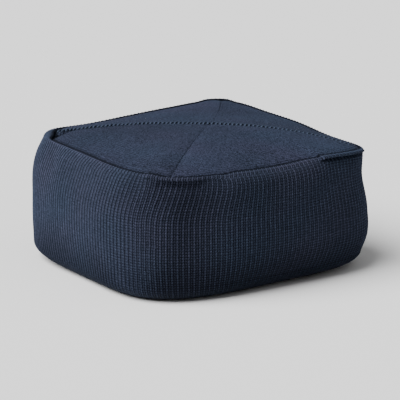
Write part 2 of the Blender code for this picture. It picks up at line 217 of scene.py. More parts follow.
def wall_reach(bearings, share):
    """Distance of the band from the axis, at one share of the edge's height."""
    turned = bearings - lean(share) * hump(bearings - LEAN_BEARING, LEAN_SPREAD)
    if share < FOOT.share:
        under = level_reach(FLOOR, turned)
        roll = math.sqrt(1 - (1 - share / FOOT.share) ** 2)
        return under + (level_reach(FOOT, turned) - under) * roll
    shares = np.array([level.share for level in LEVELS[1:]])
    level_reaches = np.array([level_reach(level, turned) for level in LEVELS[1:]])
    ridge = RIDGE_PROUD * smooth_step(share / RIDGE_FULL_ABOVE)
    ridge = ridge * hump(bearings - LEAN_BEARING - LEAN_DEGREES, RIDGE_SPREAD)
    return smooth_through(shares, level_reaches, share) + swell(bearings, share) + ridge


def tuck(bearings, share):
    """How far the band is drawn in beneath the folds of the edge."""
    found = np.zeros_like(bearings)
    for fold in EDGE_FOLDS:
        level = hump(share - fold.tuck_share, fold.tuck_spread)
        found += fold.tuck * MM * level * fold_window(fold, bearings)
    return found


def column_bearings(share, per_side):
    """Bearings of the band's columns, evenly spaced along each side of the outline."""
    corners = np.array([c + (lean(share) if c == LEAN_BEARING else 0.0) for c in CORNERS])
    found = []
    for start, end in zip(corners, np.append(corners[1:], corners[0] + 360.0)):
        fine = np.linspace(start, end, OUTLINE_SAMPLES)
        reach = wall_reach(fine % 360.0, share)
        x, y = reach * np.cos(np.radians(fine)), reach * np.sin(np.radians(fine))
        length = np.append(0.0, np.cumsum(np.hypot(np.diff(x), np.diff(y))))
        marks = np.linspace(0.0, length[-1], per_side, endpoint=False)
        found.append(np.interp(marks, length, fine))
    return np.concatenate(found) % 360.0


def ring(bearings, reach, height):
    """One closed row of points."""
    angle = np.radians(bearings)
    height = np.broadcast_to(height, bearings.shape)
    return np.stack([reach * np.cos(angle), reach * np.sin(angle), height], axis=1)


# The model's origin is the middle of the footprint's box, so all of it is moved there.
compass = np.arange(0.0, 360.0, 0.5)
outlines = np.array([ring(compass, wall_reach(compass, s), 0.0) for s in np.linspace(0.1, 0.9, 17)])
MIDDLE = (outlines.max(axis=(0, 1)) + outlines.min(axis=(0, 1))) / 2

COURSES = 50
ROWS_PER_COURSE = 2
COLUMNS_PER_RIB = 4
WALL_TOP_SHARE = 0.975
PROFILE_BEARING = 270.0
PROFILE_SAMPLES = 400
per_side = RIBS_PER_SIDE * COLUMNS_PER_RIB
columns = per_side * len(CORNERS)

# Rows are evenly spaced along the curve of the band at the middle of the front side.
fine_shares = np.linspace(0.0, WALL_TOP_SHARE, PROFILE_SAMPLES)
profile = np.array([wall_reach(np.array([PROFILE_BEARING]), s)[0] for s in fine_shares])
run = np.append(0.0, np.cumsum(np.hypot(np.diff(profile), np.diff(fine_shares * EDGE_HEIGHT))))
wall_shares = np.interp(np.linspace(0.0, run[-1], COURSES * ROWS_PER_COURSE + 1), run, fine_shares)


def crown(bearings, scale):
    """Points of the even crown over the bearings, at scales of the seam's outline."""
    points = ring(bearings, level_reach(SEAM, bearings) * scale, 0.0)
    points[:, 0] += APEX_SHIFT[0] * (1 - scale ** 2)
    points[:, 1] += APEX_SHIFT[1] * (1 - scale ** 2)
    flatness = scale ** CROWN_POWER
    points[:, 2] = APEX_HEIGHT * (1 - flatness) + edge_height(bearings) * flatness
    return points


band_rows = []
for share in wall_shares:
    bearings = column_bearings(share, per_side)
    reach = wall_reach(bearings, share) - tuck(bearings, share)
    band_rows.append(ring(bearings, reach, share * edge_height(bearings)))

# The rolled lip: on_roll is how much of the full shoulder it takes up, and on_strip how far over
# the top it lies where the band carries on inwards. Its shade is painted: painted shade down in the
# groove above 0, and a painted highlight along the crest below 0.
LipRow = namedtuple("LipRow", "name scale share drop ribs proud on_roll on_strip shade")
LIP_ROWS = [
    LipRow("under", 1.006, 0.980, 3.6 * MM, 1.0, 1.0, 0.75, 0.0, 0.0),
    LipRow("bead", 1.005, 0.990, 1.6 * MM, 1.0, 1.0, 0.70, 0.0, -0.3),
    LipRow("shoulder", 1.002, 0.996, 0.4 * MM, 0.8, 1.0, 0.50, 0.0, -0.8),
    LipRow("crest", 0.999, 1.0, 0.0, 0.5, 1.0, 0.0, 0.0, -1.3),
    LipRow("strip", 0.996, 1.0, 0.2 * MM, 0.4, 0.5, 0.0, 0.5, -0.3),
    LipRow("inner", 0.9925, 1.0, 1.2 * MM, 0.6, 0.0, 0.0, 1.0, 0.7),
    LipRow("groove", 0.989, 1.0, 7.0 * MM, 0.0, 0.0, 0.0, 1.0, 1.0),
]
seam_bearings = column_bearings(1.0, per_side)
seam_reach = level_reach(SEAM, seam_bearings)
for row in LIP_ROWS:
    out = folded(seam_bearings, "proud") * row.proud + swell(seam_bearings, row.share) * row.on_roll
    out = out - rolled(seam_bearings, "strip") * row.on_strip
    band_rows.append(crown(seam_bearings, row.scale + out / seam_reach) - [0, 0, row.drop])
band = np.array(band_rows)


def surface_normals(points):
    """Outward normals of a grid of points whose columns run round the body and rows upwards."""
    round_way = np.roll(points, -1, axis=1) - np.roll(points, 1, axis=1)
    up_way = np.gradient(points, axis=0)
    normals = np.cross(round_way, up_way)
    return normals / np.linalg.norm(normals, axis=2, keepdims=True)


def add_object(name, data):
    """A new object, in the scene."""
    made = bpy.data.objects.new(name, data)
    bpy.context.scene.collection.objects.link(made)
    return made


def grid_piece(name, points, knit, marks, closed_round):
    """An object from a grid of points, with each one's place in the knitting and other marks."""
    rows, count = points.shape[:2]
    across = count if closed_round else count - 1
    bm = bmesh.new()
    bm.loops.layers.uv.new("knit")
    mark_layers = [bm.verts.layers.float.new(mark) for mark in marks]
    bmesh.ops.create_grid(bm, x_segments=across, y_segments=rows - 1, size=1.0, calc_uvs=True)
    knit_layer = bm.loops.layers.uv.active
    place = {}
    for vertex in bm.verts:
        i = round((vertex.co.x + 1) / 2 * across)
        j = round((vertex.co.y + 1) / 2 * (rows - 1))
        place[vertex] = (i, j)
    for face in bm.faces:
        for loop in face.loops:
            i, j = place[loop.vert]
            loop[knit_layer].uv = knit[j, i]
    for vertex, (i, j) in place.items():
        vertex.co = points[j, i % count]
        for mark_layer, values in zip(mark_layers, marks.values()):
            vertex[mark_layer] = values[j, i % count]
    bmesh.ops.remove_doubles(bm, verts=bm.verts, dist=1e-6)
    bmesh.ops.recalc_face_normals(bm, faces=bm.faces)
    mesh = bpy.data.meshes.new(name)
    bm.to_mesh(mesh)
    bm.free()
    mesh.shade_smooth()
    return add_object(name, mesh)


# The soft filling presses the knit out between its foot and its seam, where it is held. Blender's
# cloth, with pressure for the filling, finds how a coarse copy of the band gives. The fine band
# takes up that movement, from a shape that starts a little slimmer.
SETTLE_ROWS = 26
SETTLE_STEP = 4
SETTLE_FRAMES = 20
SETTLE_PRESSURE = 6.0
SETTLE_MOST = 5.0 * MM
SETTLE_START = 1.2 * MM
HELD_BELOW = 0.12
HELD_ABOVE = 0.90
HELD_SOFTNESS = 0.12
LID_SCALES = (0.75, 0.4, 0.0)


def cloth_movement(cage_points, held_rows):
    """How far each point of a coarse closed grid moves as cloth under the filling's pressure."""
    rows, count = cage_points.shape[:2]
    row_marks, column_marks = np.mgrid[0:rows, 0:count].astype(float)
    flat_knit = np.zeros((rows, count + 1, 2))
    marks = {"row": row_marks, "column": column_marks}
    cage = grid_piece("settling_cage", cage_points, flat_knit, marks, closed_round=True)
    places = []
    for mark in marks:
        values = np.empty(len(cage.data.vertices))
        cage.data.attributes[mark].data.foreach_get("value", values)
        places.append(values.round().astype(int))
    held = cage.vertex_groups.new(name="held")
    held.add(np.flatnonzero(held_rows[places[0]]).tolist(), 1.0, "REPLACE")
    cloth = cage.modifiers.new("cloth", "CLOTH")
    cloth.settings.vertex_group_mass = held.name
    cloth.settings.use_pressure = True
    cloth.settings.uniform_pressure_force = SETTLE_PRESSURE
    cloth.settings.effector_weights.gravity = 0.0
    cloth.point_cache.frame_end = SETTLE_FRAMES
    scene = bpy.context.scene
    first_frame = scene.frame_current
    for number in range(1, SETTLE_FRAMES + 1):
        scene.frame_set(number)
    pressed = cage.evaluated_get(bpy.context.evaluated_depsgraph_get())
    before, after = np.empty((2, len(cage.data.vertices) * 3))
    cage.data.vertices.foreach_get("co", before)
    pressed.data.vertices.foreach_get("co", after)
    moved = np.zeros_like(cage_points)
    moved[places[0], places[1]] = (after - before).reshape(-1, 3)
    scene.frame_set(first_frame)
    bpy.data.objects.remove(cage, do_unlink=True)
    return moved


def settled(points):
    """The band's wall after the filling has pressed it out."""
    coarse_rows = np.linspace(0, len(wall_shares) - 1, SETTLE_ROWS).round().astype(int)
    between = smooth_step((wall_shares - HELD_BELOW) / HELD_SOFTNESS)
    between = between * smooth_step((HELD_ABOVE - wall_shares) / HELD_SOFTNESS)
    slimmer = points - surface_normals(points) * SETTLE_START * between[:, None, None]
    coarse = slimmer[coarse_rows][:, ::SETTLE_STEP]
    top_lid = [crown(seam_bearings[::SETTLE_STEP], scale) for scale in LID_SCALES]
    foot_lid = [coarse[0] * [scale, scale, 1.0] for scale in LID_SCALES[::-1]]
    cage_points = np.concatenate([foot_lid, coarse, top_lid])
    shares = np.concatenate([np.zeros(len(foot_lid)), wall_shares[coarse_rows], np.ones(len(top_lid))])
    moved = cloth_movement(cage_points, (shares < HELD_BELOW) | (shares > HELD_ABOVE))
    moved = moved[len(foot_lid):-len(top_lid)]
    distance = np.linalg.norm(moved, axis=2, keepdims=True)
    moved = moved * np.minimum(1.0, SETTLE_MOST / np.maximum(distance, SETTLE_MOST))
    closed = np.concatenate([moved, moved[:, :1]], axis=1)
    coarse_columns = np.arange(closed.shape[1]) * SETTLE_STEP
    fine_rows, fine_columns = np.arange(len(points)), np.arange(columns)
    fine = np.empty_like(points)
    for axis in range(3):
        tall = np.array([np.interp(fine_rows, coarse_rows, line) for line in closed[:, :, axis].T])
        fine[:, :, axis] = [np.interp(fine_columns, coarse_columns, line) for line in tall.T]
    return slimmer + fine


wall_rows = len(wall_shares)
band[:wall_rows] = settled(band[:wall_rows])

RIB_CREST = 2.8 * MM
SMALL_RIB_CREST = 1.4 * MM
RIB_WIDTH = 0.14
RIB_FLOOR = 1.2 * MM
STITCH_BEAD = 0.35 * MM

# At the near corner the ribs are stretched over the filling, and stand out further.
CORNER_RIBS = 0.7
CORNER_RIBS_BEARING = 216.0
CORNER_RIBS_SPREAD = 11.0

# Along the left side the filling pulls the knit smooth, so its stitches show less there.
PULLED_BEARING = 172.0
PULLED_HALF = 34.0
PULLED_SOFTNESS = 26.0
PULLED_SMOOTH = 0.8
PULLED_FLAT = 0.2


def rib_relief(phase, bead):
    """Height of the knit across one rib: a broad raised chain of stitches and a small sunk one."""
    broad = hump(phase - 0.5, RIB_WIDTH)
    small = hump(np.minimum(phase, 1 - phase), RIB_WIDTH)
    return (RIB_CREST + bead) * broad + (SMALL_RIB_CREST - bead) * small - RIB_FLOOR


phase = (np.arange(columns) % COLUMNS_PER_RIB) / COLUMNS_PER_RIB
fade = np.append(smooth_step(wall_shares / FOOT.share), [row.ribs for row in LIP_ROWS])
beads = np.where(np.arange(len(band)) % 2 == 0, STITCH_BEAD, -STITCH_BEAD)
stretched = 1 + CORNER_RIBS * hump(seam_bearings - CORNER_RIBS_BEARING, CORNER_RIBS_SPREAD)
from_middle = np.abs(seam_bearings - PULLED_BEARING)
pulled = PULLED_SMOOTH * smooth_step((PULLED_HALF - from_middle) / PULLED_SOFTNESS + 0.5)
relief = np.array([rib_relief(phase, bead * (1 - pulled)) * f * stretched for bead, f in zip(beads, fade)])
relief = relief * (1 - PULLED_FLAT * pulled)
band = band + surface_normals(band) * relief[:, :, None]

# Hidden under the top and the base, the body closes a little inside their panels.
UNDER_TOP = 9.0 * MM
UNDER_TOP_SCALES = (0.955, 0.75, 0.4, 0.0)
OVER_BASE = 3.5 * MM
RECESS_SCALE = 0.972
RECESS_RIM_SCALE = 0.975
hidden_top = [crown(seam_bearings, s) - [0, 0, UNDER_TOP] for s in UNDER_TOP_SCALES]
floor_row = band[0]
hidden_foot = [
    floor_row * [0.0, 0.0, 0.0] + [0, 0, OVER_BASE],
    floor_row * [RECESS_SCALE, RECESS_SCALE, 0.0] + [0, 0, OVER_BASE],
    floor_row * [RECESS_RIM_SCALE, RECESS_RIM_SCALE, 0.0],
]
body_points = np.concatenate([np.array(hidden_foot), band, np.array(hidden_top)]) - MIDDLE

# Places in the knitting: across in single chains of stitches, two to a rib, and up in courses.
rib_chains = np.arange(columns + 1) * 2.0 / COLUMNS_PER_RIB
row_steps = np.linalg.norm(np.diff(body_points, axis=0), axis=2).mean(axis=1)
course_height = run[-1] / COURSES
course_marks = np.append(0.0, np.cumsum(row_steps)) / course_height
course_marks -= course_marks[len(hidden_foot)]
band_knit = np.stack(np.meshgrid(rib_chains, course_marks), axis=2)

# Painted shade: darker towards the floor, where the wall turns under.
FOOT_SHADE = 0.42
FOOT_SHADE_BELOW = 0.45

# At the near corner the knit is stretched over the filling. A painted highlight makes its ribs paler
# on the left side of the ridge, and painted shade makes them darker on the front side.
CornerPaintedLight = namedtuple("CornerPaintedLight", "name bearing spread pale")
CORNER_PAINTED_LIGHT = [
    CornerPaintedLight("painted highlight left of the ridge", 217.5, 8.0, 0.65),
    CornerPaintedLight("painted shade front of the ridge", 232.5, 6.0, -0.14),
]
CORNER_PAINTED_LIGHT_BELOW = 0.95
CORNER_PAINTED_LIGHT_FADE = 0.15
pale = sum(corner_paint.pale * hump(seam_bearings - corner_paint.bearing, corner_paint.spread) for corner_paint in CORNER_PAINTED_LIGHT)
low_shade = FOOT_SHADE - np.maximum(pale, 0.0) / 2
# Painted shade towards the foot, and the near corner's painted highlight and painted shade above it.
wall_shade = []
for share in wall_shares:
    above_foot = smooth_step(share / FOOT_SHADE_BELOW)
    below_lip = smooth_step((CORNER_PAINTED_LIGHT_BELOW - share) / CORNER_PAINTED_LIGHT_FADE)
    wall_shade.append(low_shade * (1 - above_foot) - pale * above_foot * below_lip)
# The lip's painted shade and painted highlight, row by row.
lip_shade = [np.full(columns, row.shade) for row in LIP_ROWS]
no_shade = np.zeros(columns)
band_shade = [no_shade] * len(hidden_foot) + wall_shade + lip_shade + [no_shade] * len(hidden_top)
band_marks = {
    "shade": np.array(band_shade),
    "pulled": np.repeat(pulled[None, :], len(body_points), axis=0),
}
side_band = grid_piece("ribbed_side_band", body_points, band_knit, band_marks, closed_round=True)


class Field:
    """A value or a colour in a material's nodes, so that shader maths reads as an expression."""

    def __init__(self, tree, socket):
        self.tree = tree
        self.socket = socket

    def node(self, kind, settings=None, inputs=None, output=0):
        """Adds a node: its settings first, then the values or links of its sockets."""
        made = self.tree.nodes.new(kind)
        for name, value in (settings or {}).items():
            setattr(made, name, value)
        for name, value in (inputs or {}).items():
            if isinstance(value, Field):
                self.tree.links.new(value.socket, made.inputs[name])
            else:
                made.inputs[name].default_value = value
        return Field(self.tree, made.outputs[output])

    def maths(self, operation, *others):
        """A Math node that has this value first."""
        inputs = dict(enumerate(others, start=1))
        inputs[0] = self
        return self.node("ShaderNodeMath", {"operation": operation}, inputs)

    def flipped(self, operation, other):
        """A Math node that has this value second."""
        inputs = {0: other, 1: self}
        return self.node("ShaderNodeMath", {"operation": operation}, inputs)

    def __add__(self, other):
        return self.maths("ADD", other)

    def __sub__(self, other):
        return self.maths("SUBTRACT", other)

    def __mul__(self, other):
        return self.maths("MULTIPLY", other)

    def __truediv__(self, other):
        return self.maths("DIVIDE", other)

    def __pow__(self, other):
        return self.maths("POWER", other)

    def __rsub__(self, other):
        return self.flipped("SUBTRACT", other)

    __radd__ = __add__
    __rmul__ = __mul__

    def wave(self):
        """A smooth wave: 0 at each whole number, and 1 half way between."""
        return 0.5 - 0.5 * (self * (2 * math.pi)).maths("COSINE")

    def held(self):
        """This value, held between 0 and 1."""
        return self.maths("MAXIMUM", 0.0).maths("MINIMUM", 1.0)

    def noise(self, grain):
        """Soft noise of this grain, from 0 to 1, read at this place."""
        inputs = {
            "Vector": self,
            "Scale": grain.scale,
            "Detail": grain.detail,
            "Roughness": grain.roughness,
        }
        return self.node("ShaderNodeTexNoise", {"noise_dimensions": "3D"}, inputs)

    def swing(self, grain):
        """The same noise, from -0.5 to 0.5."""
        return self.noise(grain) - 0.5

    def mixed(self, first, second):
        """The first colour where this value is 0 and the second where it is 1."""
        # For colours, the Mix node's sockets 0, 6 and 7 are in use, and its output 2.
        settings = {"data_type": "RGBA"}
        return self.node("ShaderNodeMix", settings, {0: self, 6: first, 7: second}, output=2)


def new_material(name):
    """A material with its shader node, and a field to build from."""
    material = bpy.data.materials.new(name)
    material.use_nodes = True
    shader = material.node_tree.nodes["Principled BSDF"]
    return material, shader, Field(material.node_tree, None)


def dress(material, shader, colour, height, depth, strength=1.0):
    """Gives a cloth's material its colour and its relief."""
    bump_inputs = {"Height": height, "Distance": depth, "Strength": strength}
    bump = height.node("ShaderNodeBump", None, bump_inputs)
    material.node_tree.links.new(colour.socket, shader.inputs["Base Color"])
    material.node_tree.links.new(bump.socket, shader.inputs["Normal"])
    shader.inputs["Roughness"].default_value = CLOTH_ROUGHNESS


# Painted shade in the gaps between the stitches, and the three strands of the band's heathered yarn.
NAVY_DEEP_AND_GAP_SHADE = (0.0034, 0.0042, 0.0080, 1.0)
NAVY = (0.019, 0.0255, 0.0425, 1.0)
NAVY_LIGHT = (0.044, 0.062, 0.104, 1.0)
NAVY_VIOLET = (0.056, 0.059, 0.100, 1.0)
CLOTH_ROUGHNESS = 0.9
YARN_GLOSS = 0.08
YARN_SHEEN = 0.03
YARN_SHEEN_ROUGHNESS = 0.5
YARN_SHEEN_TINT = (0.45, 0.6, 1.0, 1.0)

# The noises of the yarn. LONE_STITCH is read in chains and courses, and the others in metres.
Grain = namedtuple("Grain", "scale detail roughness")
WANDER = Grain(90.0, 2.0, 0.6)
LONE_STITCH = Grain(1.0, 2.0, 0.8)
FIBRES = Grain(1400.0, 3.0, 0.7)
BROAD_TONE = Grain(9.0, 2.0, 0.6)
TINT = Grain(6.0, 1.0, 0.6)

# How far a stitch wanders, in chains across and courses up, how far its leg climbs from the
# middle of the chain to the side, and how full it is. The last two say how often the tone and
# the height change, for each chain and for each course.
WANDER_ACROSS = 0.20
WANDER_UP = 0.5
LEG_CLIMB = 0.45
FULLNESS = 3.0
LONE_ACROSS = 0.5
LONE_UP = 1.6

# The share of the lighter strands: its middle value, and how much each thing changes it. The
# last one says how sharply they turn from blue to violet.
LIGHT_MIDDLE = 0.45
HEATHER_LIGHT = 1.6
LONE_LIGHT = 0.8
BROAD_LIGHT = 0.5
# The shade mark's painted shade and painted highlight.
SHADE_LIGHT = 0.5
TINT_CONTRAST = 3.0

# Heights of the fibres and of one stitch over the next, beside a whole stitch as 1.
FIBRE_HEIGHT = 0.5
LONE_HEIGHT = 0.3

# A knit's painted shade: darker in the gaps between its chains and on the small sunk chain of each rib.
Knit = namedtuple("Knit", "name colour light violet bump gap leg small_chain speckle heather")
BAND_KNIT = Knit(
    "navy_ribbed_yarn", NAVY, NAVY_LIGHT, NAVY_VIOLET,
    bump=1.4 * MM, gap=1.0, leg=0.50, small_chain=0.30, speckle=1.3, heather=Grain(300.0, 2.0, 0.6),
)


def knit_material(knit):
    """Navy yarn, knitted: slanted legs of the stitches, painted shade in the gaps between chains, and
    heather.
    """
    material, shader, start = new_material(knit.name)
    place = start.node("ShaderNodeUVMap", {"uv_map": "knit"})
    chain = place.node("ShaderNodeSeparateXYZ", None, {"Vector": place}, output="X")
    course = place.node("ShaderNodeSeparateXYZ", None, {"Vector": place}, output="Y")
    shade = start.node("ShaderNodeAttribute", {"attribute_name": "shade"}, output="Fac")
    pulled = start.node("ShaderNodeAttribute", {"attribute_name": "pulled"}, output="Fac")
    in_space = start.node("ShaderNodeTexCoord", output="Object")
    wander = in_space.swing(WANDER)
    across = (chain - 0.5 + wander * WANDER_ACROSS).maths("FRACT")
    side = ((across - 0.5) * 2.0).maths("ABSOLUTE")
    leg = (course + side * LEG_CLIMB + wander * WANDER_UP).wave()
    leg_depth = knit.leg * (1.0 - pulled)
    stitch = (1.0 - side ** FULLNESS) * (1.0 - leg_depth + leg * leg_depth)
    stitch_inputs = {"X": chain * LONE_ACROSS, "Y": course * LONE_UP}
    lone = start.node("ShaderNodeCombineXYZ", None, stitch_inputs).swing(LONE_STITCH)
    small = 1.0 - (chain * 0.5).wave()
    gap = (1.0 - stitch) * knit.gap + small * knit.small_chain
    # Painted shade from the gaps and from the shade mark. Below 0 the shade mark is a painted highlight
    # instead.
    dark = (gap + shade.maths("MAXIMUM", 0.0)).held()
    flecks = in_space.swing(knit.heather) * HEATHER_LIGHT + lone * LONE_LIGHT
    broad = in_space.swing(BROAD_TONE) * BROAD_LIGHT
    light = (LIGHT_MIDDLE + flecks * knit.speckle + broad - shade * SHADE_LIGHT).held()
    tint = (in_space.swing(TINT) * TINT_CONTRAST + 0.5).held()
    colour = dark.mixed(light.mixed(knit.colour, tint.mixed(knit.light, knit.violet)), NAVY_DEEP_AND_GAP_SHADE)
    height = stitch + in_space.swing(FIBRES) * FIBRE_HEIGHT + lone * LONE_HEIGHT
    dress(material, shader, colour, height, knit.bump)
    shader.inputs["Specular IOR Level"].default_value = YARN_GLOSS
    shader.inputs["Sheen Weight"].default_value = YARN_SHEEN
    shader.inputs["Sheen Roughness"].default_value = YARN_SHEEN_ROUGHNESS
    shader.inputs["Sheen Tint"].default_value = YARN_SHEEN_TINT
    return material


band_yarn = knit_material(BAND_KNIT)
side_band.data.materials.append(band_yarn)
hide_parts("filled_ribbed_body")
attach(side_band, "root")

# The top: four triangular panels of the same yarn, knitted with their rows parallel to the
# outer edge. They are sewn to each other along the diagonals and to the band all round, and
# the filling pushes them up into a low crown that dips along every seam.

# In order of their bearings. A panel starts at its first corner, or some ribs after it.
# A panel's shade, below 0, is a painted highlight over the whole panel, most on the back and the front.
PanelSide = namedtuple("PanelSide", "name first_rib shade")
PANEL_SIDES = [
    PanelSide("back", 0, -0.42),
    PanelSide("left", 0, -0.12),
    PanelSide("front", 1, -0.34),
    PanelSide("right", 0, -0.12),
]
PANEL_EDGE = 0.984
PANEL_THICKNESS = 3.0 * MM
EDGE_SINK = 4.5 * MM
EDGE_SINK_REACH = 9.0 * MM
DIAGONAL_SINK = 2.0 * MM
DIAGONAL_SINK_REACH = 7.0 * MM
DIAGONAL_GAP = 0.15 * MM
PANEL_CHAIN = 5.2 * MM
PANEL_COURSE = 5.0 * MM
PANEL_ROWS_PER_CHAIN = 2
PANEL_COLUMNS = 96
PANEL_RELIEF = 0.06 * MM
EDGE_SHADE_REACH = 5.2 * MM
DIAGONAL_SHADE = 0.12
DIAGONAL_SHADE_REACH = 1.6 * MM
TIP_SCALE = 0.004
STRIP_FADE_SCALE = 0.60

# A panel's depth, as a share of the mean distance from its edge to the middle of the top.
PANEL_DEPTH_SHARE = math.sqrt(0.8)

TOP_NAVY = (0.0040, 0.0055, 0.0100, 1.0)
TOP_NAVY_LIGHT = (0.0340, 0.0465, 0.0810, 1.0)
TOP_NAVY_VIOLET = (0.0400, 0.0440, 0.0800, 1.0)
TOP_KNIT = Knit(
    "navy_top_yarn", TOP_NAVY, TOP_NAVY_LIGHT, TOP_NAVY_VIOLET,
    bump=0.9 * MM, gap=0.46, leg=0.45, small_chain=0.0, speckle=1.8, heather=Grain(330.0, 2.0, 0.6),
)


def spread_between(start_column, end_column, count):
    """Bearings of points evenly spread along the seam, between two of its rib columns."""
    marks = np.linspace(start_column, end_column, count + 1)
    opened = np.unwrap(np.append(seam_bearings, seam_bearings[0] + 360.0), period=360.0)
    opened = np.concatenate([opened[:-1], opened + 360.0])
    return np.interp(marks, np.arange(len(opened)), opened) % 360.0


def panel_ends(index):
    """The band's columns at which one panel's outer edge starts and ends."""
    side, following = PANEL_SIDES[index], PANEL_SIDES[(index + 1) % len(PANEL_SIDES)]
    first = index * per_side + side.first_rib * COLUMNS_PER_RIB
    last = (index + 1) * per_side + following.first_rib * COLUMNS_PER_RIB
    return first, last


def panel_row(bearings, scale, row):
    """Points of one row of a panel's knitting, their places along it, and their painted shade along the
    seams.
    """
    reach = level_reach(SEAM, bearings)
    edge_part = smooth_step((scale - STRIP_FADE_SCALE) / (PANEL_EDGE - STRIP_FADE_SCALE))
    line = crown(bearings, scale - rolled(bearings, "strip") / reach * edge_part)
    inside = (PANEL_EDGE - scale) * reach
    for pocket in CORNER_POCKETS:
        near_corner = hump(bearings - pocket.bearing, pocket.spread) * hump(inside, pocket.reach * MM)
        line[:, 2] -= pocket.depth * MM * near_corner
    steps = np.hypot(*np.diff(line[:, :2], axis=0).T)
    along = np.append(0.0, np.cumsum(steps))
    # The diagonal seams meet the row at 45 degrees.
    to_seam = np.minimum(along, along[-1] - along) * math.sqrt(0.5)
    line[:, 2] -= EDGE_SINK * np.exp(-inside / EDGE_SINK_REACH)
    line[:, 2] -= DIAGONAL_SINK * hump(to_seam, DIAGONAL_SINK_REACH)
    line[:, 2] += PANEL_RELIEF * math.cos(2 * math.pi * row / PANEL_ROWS_PER_CHAIN)
    # Each end draws back from the seam, at most half way to its neighbour.
    for end, neighbour in ((0, 1), (-1, -2)):
        way = line[neighbour] - line[end]
        line[end] += way * min(DIAGONAL_GAP / np.linalg.norm(way), 0.5)
    # Painted shade in the grooves along the outer edge and the diagonal seams.
    seam_shade = DIAGONAL_SHADE * hump(to_seam, DIAGONAL_SHADE_REACH)
    return line, along, np.maximum(hump(inside, EDGE_SHADE_REACH), seam_shade)


def thicken(sheet):
    """Turns a flat piece's faces up, and gives it a panel's thickness downwards."""
    if sum(face.normal.z for face in sheet.data.polygons) < 0:
        sheet.data.flip_normals()
    solid = sheet.modifiers.new("thickness", "SOLIDIFY")
    solid.thickness = PANEL_THICKNESS
    solid.offset = -1.0


panel_yarn = knit_material(TOP_KNIT)
for index, side in enumerate(PANEL_SIDES):
    bearings = spread_between(*panel_ends(index), PANEL_COLUMNS)
    depth = float(np.mean(level_reach(SEAM, bearings))) * PANEL_EDGE * PANEL_DEPTH_SHARE
    last_row = round(depth / PANEL_CHAIN) * PANEL_ROWS_PER_CHAIN
    points, knit, shade = [], [], []
    for row, scale in enumerate(np.linspace(PANEL_EDGE, TIP_SCALE, last_row + 1)):
        line, along, painted_shade = panel_row(bearings, scale, row)
        chain = np.full(len(line), row / PANEL_ROWS_PER_CHAIN)
        knit.append(np.stack([chain, (along - along[-1] / 2) / PANEL_COURSE], axis=1))
        points.append(line)
        shade.append(side.shade + painted_shade)
    points = np.array(points) - MIDDLE
    name = "knit_top_panel_" + side.name
    panel = grid_piece(name, points, np.array(knit), {"shade": np.array(shade)}, closed_round=False)
    thicken(panel)
    panel.data.materials.append(panel_yarn)
    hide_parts("top_panel_" + side.name)
    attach(panel, "root")

# The seam from the left corner to the right one: thick yarn, worked over the edges of the panels in
# short raised loops. The other diagonal seam is drawn tight, and shows as a thin groove.

LOOP_PITCH = 8.8 * MM
LOOP_HALF_LENGTH = 12.5 * MM
LOOP_RISE = 2.6 * MM
LOOP_THICKNESS = 3.8 * MM
LOOP_SMALL_AFTER = 0.62
LOOP_SMALL_OVER = 0.15
LOOP_SMALLER = 0.5
LOOP_UNEVENNESS = 0.3
LOOP_SLANT = 0.25
LOOP_BENDS = 6
LOOP_FIRST_SCALE = 0.95
LOOP_SEED = 7
LOOP_LIGHT = (0.062, 0.083, 0.130, 1.0)
LOOP_PLY = Grain(700.0, 3.0, 0.7)
LOOP_PLY_DEPTH = 0.4 * MM
SEAM_SAMPLES = 200
LEFT_CORNER_COLUMN = per_side
RIGHT_CORNER_COLUMN = 3 * per_side

# Up from the left corner to the middle, and down again to the right one.
seam_line = []
for column, way in ((LEFT_CORNER_COLUMN, 1), (RIGHT_CORNER_COLUMN, -1)):
    half_scales = np.linspace(LOOP_FIRST_SCALE, 0.0, SEAM_SAMPLES)[::way]
    bearing = seam_bearings[column:column + 1]
    seam_line += [crown(bearing, scale)[0] for scale in half_scales]
seam_line = np.array(seam_line) - MIDDLE
seam_run = np.append(0.0, np.cumsum(np.linalg.norm(np.diff(seam_line, axis=0), axis=1)))
loop_marks = np.arange(LOOP_PITCH, seam_run[-1] - LOOP_PITCH, LOOP_PITCH)
centres = np.stack([np.interp(loop_marks, seam_run, axis) for axis in seam_line.T], axis=1)
headings = np.gradient(centres, axis=0)
headings /= np.linalg.norm(headings, axis=1, keepdims=True)

loops_curve = bpy.data.curves.new("seam_loops", "CURVE")
loops_curve.dimensions = "3D"
loops_curve.bevel_depth = LOOP_THICKNESS / 2
loops_curve.bevel_resolution = 1
loops_curve.use_fill_caps = True
steps_across = np.linspace(-1.0, 1.0, LOOP_BENDS + 1)
draws = np.random.default_rng(LOOP_SEED)
uneven = draws.uniform(1 - LOOP_UNEVENNESS, 1 + LOOP_UNEVENNESS, (len(centres), 2))
# The loops are smaller towards the right corner.
along_seam = loop_marks / seam_run[-1]
uneven *= (1 - LOOP_SMALLER * smooth_step((along_seam - LOOP_SMALL_AFTER) / LOOP_SMALL_OVER))[:, None]
for centre, heading, (longer, higher) in zip(centres, headings, uneven):
    across = np.array([-heading[1], heading[0], 0.0]) * longer
    spline = loops_curve.splines.new("POLY")
    spline.points.add(LOOP_BENDS)
    for point, step in zip(spline.points, steps_across):
        place = centre + across * step * LOOP_HALF_LENGTH + heading * abs(step) * LOOP_SLANT * LOOP_PITCH
        dip = DIAGONAL_SINK * hump(step * LOOP_HALF_LENGTH, DIAGONAL_SINK_REACH)
        place[2] += LOOP_RISE * higher * (1 - step ** 2) - dip - LOOP_THICKNESS / 4
        point.co = (*place, 1.0)
loops_as_curve = add_object("seam_loops_curve", loops_curve)
loops_mesh = bpy.data.meshes.new_from_object(loops_as_curve)
bpy.data.objects.remove(loops_as_curve, do_unlink=True)
loops_mesh.shade_smooth()
seam_loops = add_object("seam_loops", loops_mesh)

